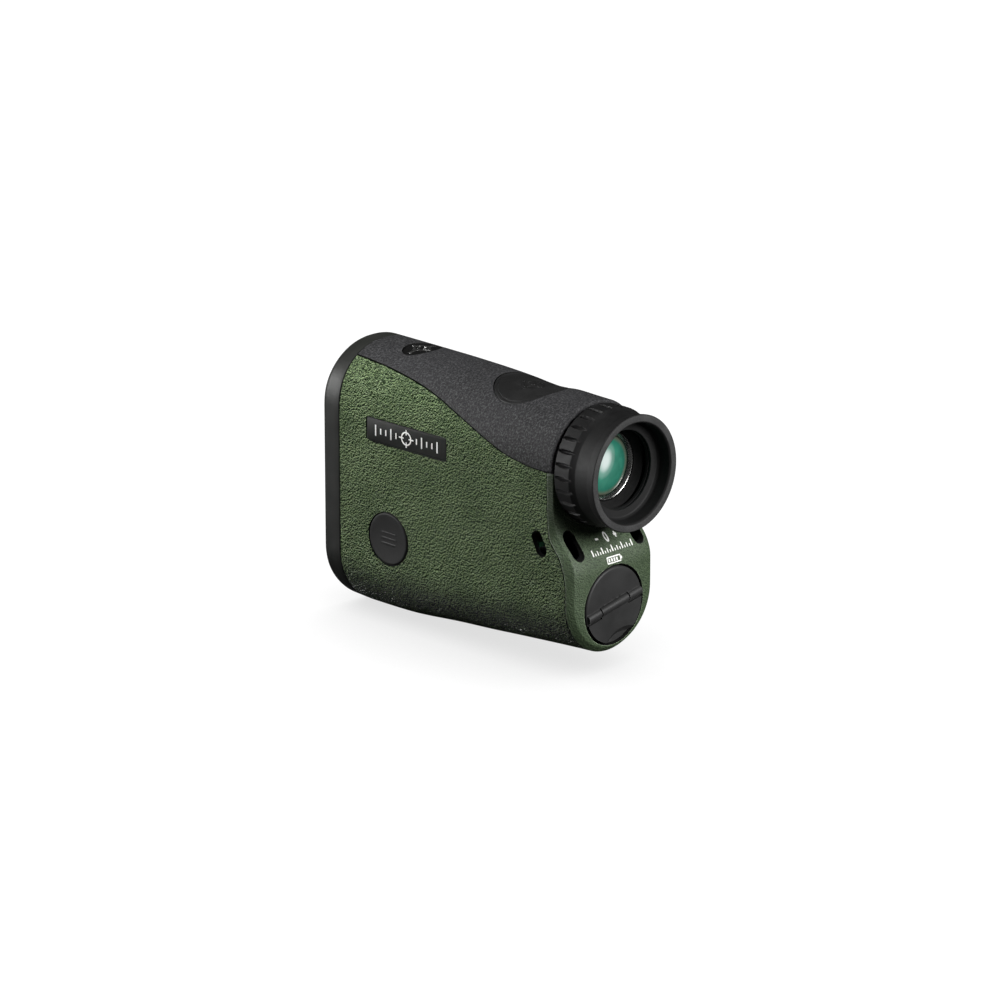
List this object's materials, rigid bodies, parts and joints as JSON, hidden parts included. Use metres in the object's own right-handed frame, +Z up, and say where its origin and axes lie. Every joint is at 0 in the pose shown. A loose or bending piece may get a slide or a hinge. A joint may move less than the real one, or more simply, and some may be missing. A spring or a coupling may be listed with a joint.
{
  "type": "laser rangefinder",
  "caption": "Compact handheld laser rangefinder: tall slim body, stacked front lenses, turning eyepiece, push buttons and a screw-in battery cap with a flip-up tab.",
  "frame": {"origin": "under the middle of the body, level with its lowest point", "axes": "+Y the way the instrument looks (objective end), -Y the eyepiece, +Z up, +X to the user's right when looking through it"},
  "size_m": [0.0352, 0.102, 0.0751],
  "materials": {
    "olive_grain": "pebbled leather-like grain, satin",
    "olive_fine": "fine spark-eroded texture, satin",
    "cover_charcoal": "fine speckled texture, matt",
    "satin_black": "smooth satin",
    "button_grey": "smooth satin rubber",
    "black_rubber": "matt rubber",
    "black_anodised": "black anodised, satin",
    "bright_steel": "bright",
    "coated_glass": "green-teal anti-reflection coating",
    "chassis_grey": "moulded, matt",
    "circuit_board": "solder mask, satin",
    "flex_amber": "polyimide film, glossy",
    "battery_wrap": "shrink wrap"
  },
  "bodies": {
    "housing": {"green_shell": "olive_grain", "rear_cover": "olive_fine", "top_cover": "cover_charcoal", "front_bezel": "satin_black", "front_plate": "satin_black", "side_plate": "satin_black", "top_badge": "satin_black", "measure_switch": "satin_black", "menu_switch": "satin_black", "objective_cell": "black_anodised", "objective_lens": "coated_glass", "objective_retainer": "black_anodised", "receiver_cell": "black_anodised", "receiver_lens": "coated_glass", "receiver_retainer": "black_anodised", "photodiode_module": "circuit_board", "optical_chassis": "chassis_grey", "roof_prism": "coated_glass", "prism_clamp": "bright_steel", "clamp_screw_1": "bright_steel", "clamp_screw_2": "bright_steel", "display_frame": "satin_black", "display_panel": "coated_glass", "display_flex": "flex_amber", "laser_diode": "bright_steel", "main_board": "circuit_board", "board_screw_1": "bright_steel", "board_screw_2": "bright_steel", "board_screw_3": "bright_steel", "board_screw_4": "bright_steel", "board_processor": "satin_black", "laser_capacitor": "battery_wrap", "battery_tube": "chassis_grey", "battery": "battery_wrap", "battery_contact": "bright_steel", "lanyard_pin_left": "black_anodised", "lanyard_pin_right": "black_anodised", "eyepiece_sleeve": "black_anodised", "diopter_oring": "black_rubber"},
    "measure_button": {"measure_button": "button_grey", "measure_button_seal": "black_rubber"},
    "menu_button": {"menu_button": "button_grey", "menu_button_seal": "black_rubber"},
    "eyepiece_ring": {"diopter_ring": "satin_black", "eyecup": "black_rubber"},
    "ocular_group": {"ocular_cell": "black_anodised", "ocular_lens": "coated_glass", "field_lens": "coated_glass", "ocular_retainer": "bright_steel"},
    "cap_seal": {"battery_cap_oring": "black_rubber"},
    "cap": {"battery_cap": "satin_black", "cap_contact": "bright_steel", "cap_spring": "bright_steel", "tab_hinge_pin": "bright_steel"},
    "tab": {"cap_tab": "satin_black"}
  },
  "joints": [
    {"name": "measure_press", "type": "slide", "parent": "housing", "child": "measure_button", "axis": [0, 0, -1], "range_m": [0, 0.0007]},
    {"name": "menu_press", "type": "slide", "parent": "housing", "child": "menu_button", "axis": [1, 0, 0], "range_m": [0, 0.0007]},
    {"name": "diopter_turn", "type": "hinge", "parent": "housing", "child": "eyepiece_ring", "pos_m": [0, -0.044, 0.0566], "axis": [0, -1, 0], "range_deg": [-60, 60]},
    {"name": "ocular_slide", "type": "slide", "parent": "housing", "child": "ocular_group", "axis": [0, -1, 0], "range_m": [-0.00075, 0.00075]},
    {"name": "cap_lift", "type": "slide", "parent": "housing", "child": "cap_seal", "axis": [0, -1, 0], "range_m": [0, 0.003]},
    {"name": "cap_turn", "type": "hinge", "parent": "cap_seal", "child": "cap", "pos_m": [0, -0.0433, 0.01847], "axis": [0, -1, 0], "range_deg": [0, 360]},
    {"name": "tab_flip", "type": "hinge", "parent": "cap", "child": "tab", "pos_m": [0, -0.0433, 0.01847], "axis": [-0.9799, 0, -0.1994], "range_deg": [0, 90]}
  ],
  "couplings": [
    {"joint": "ocular_slide", "follows": "diopter_turn", "m_per_rad": 0.0007},
    {"joint": "cap_lift", "follows": "cap_turn", "m_per_rad": 0.000477}
  ]
}
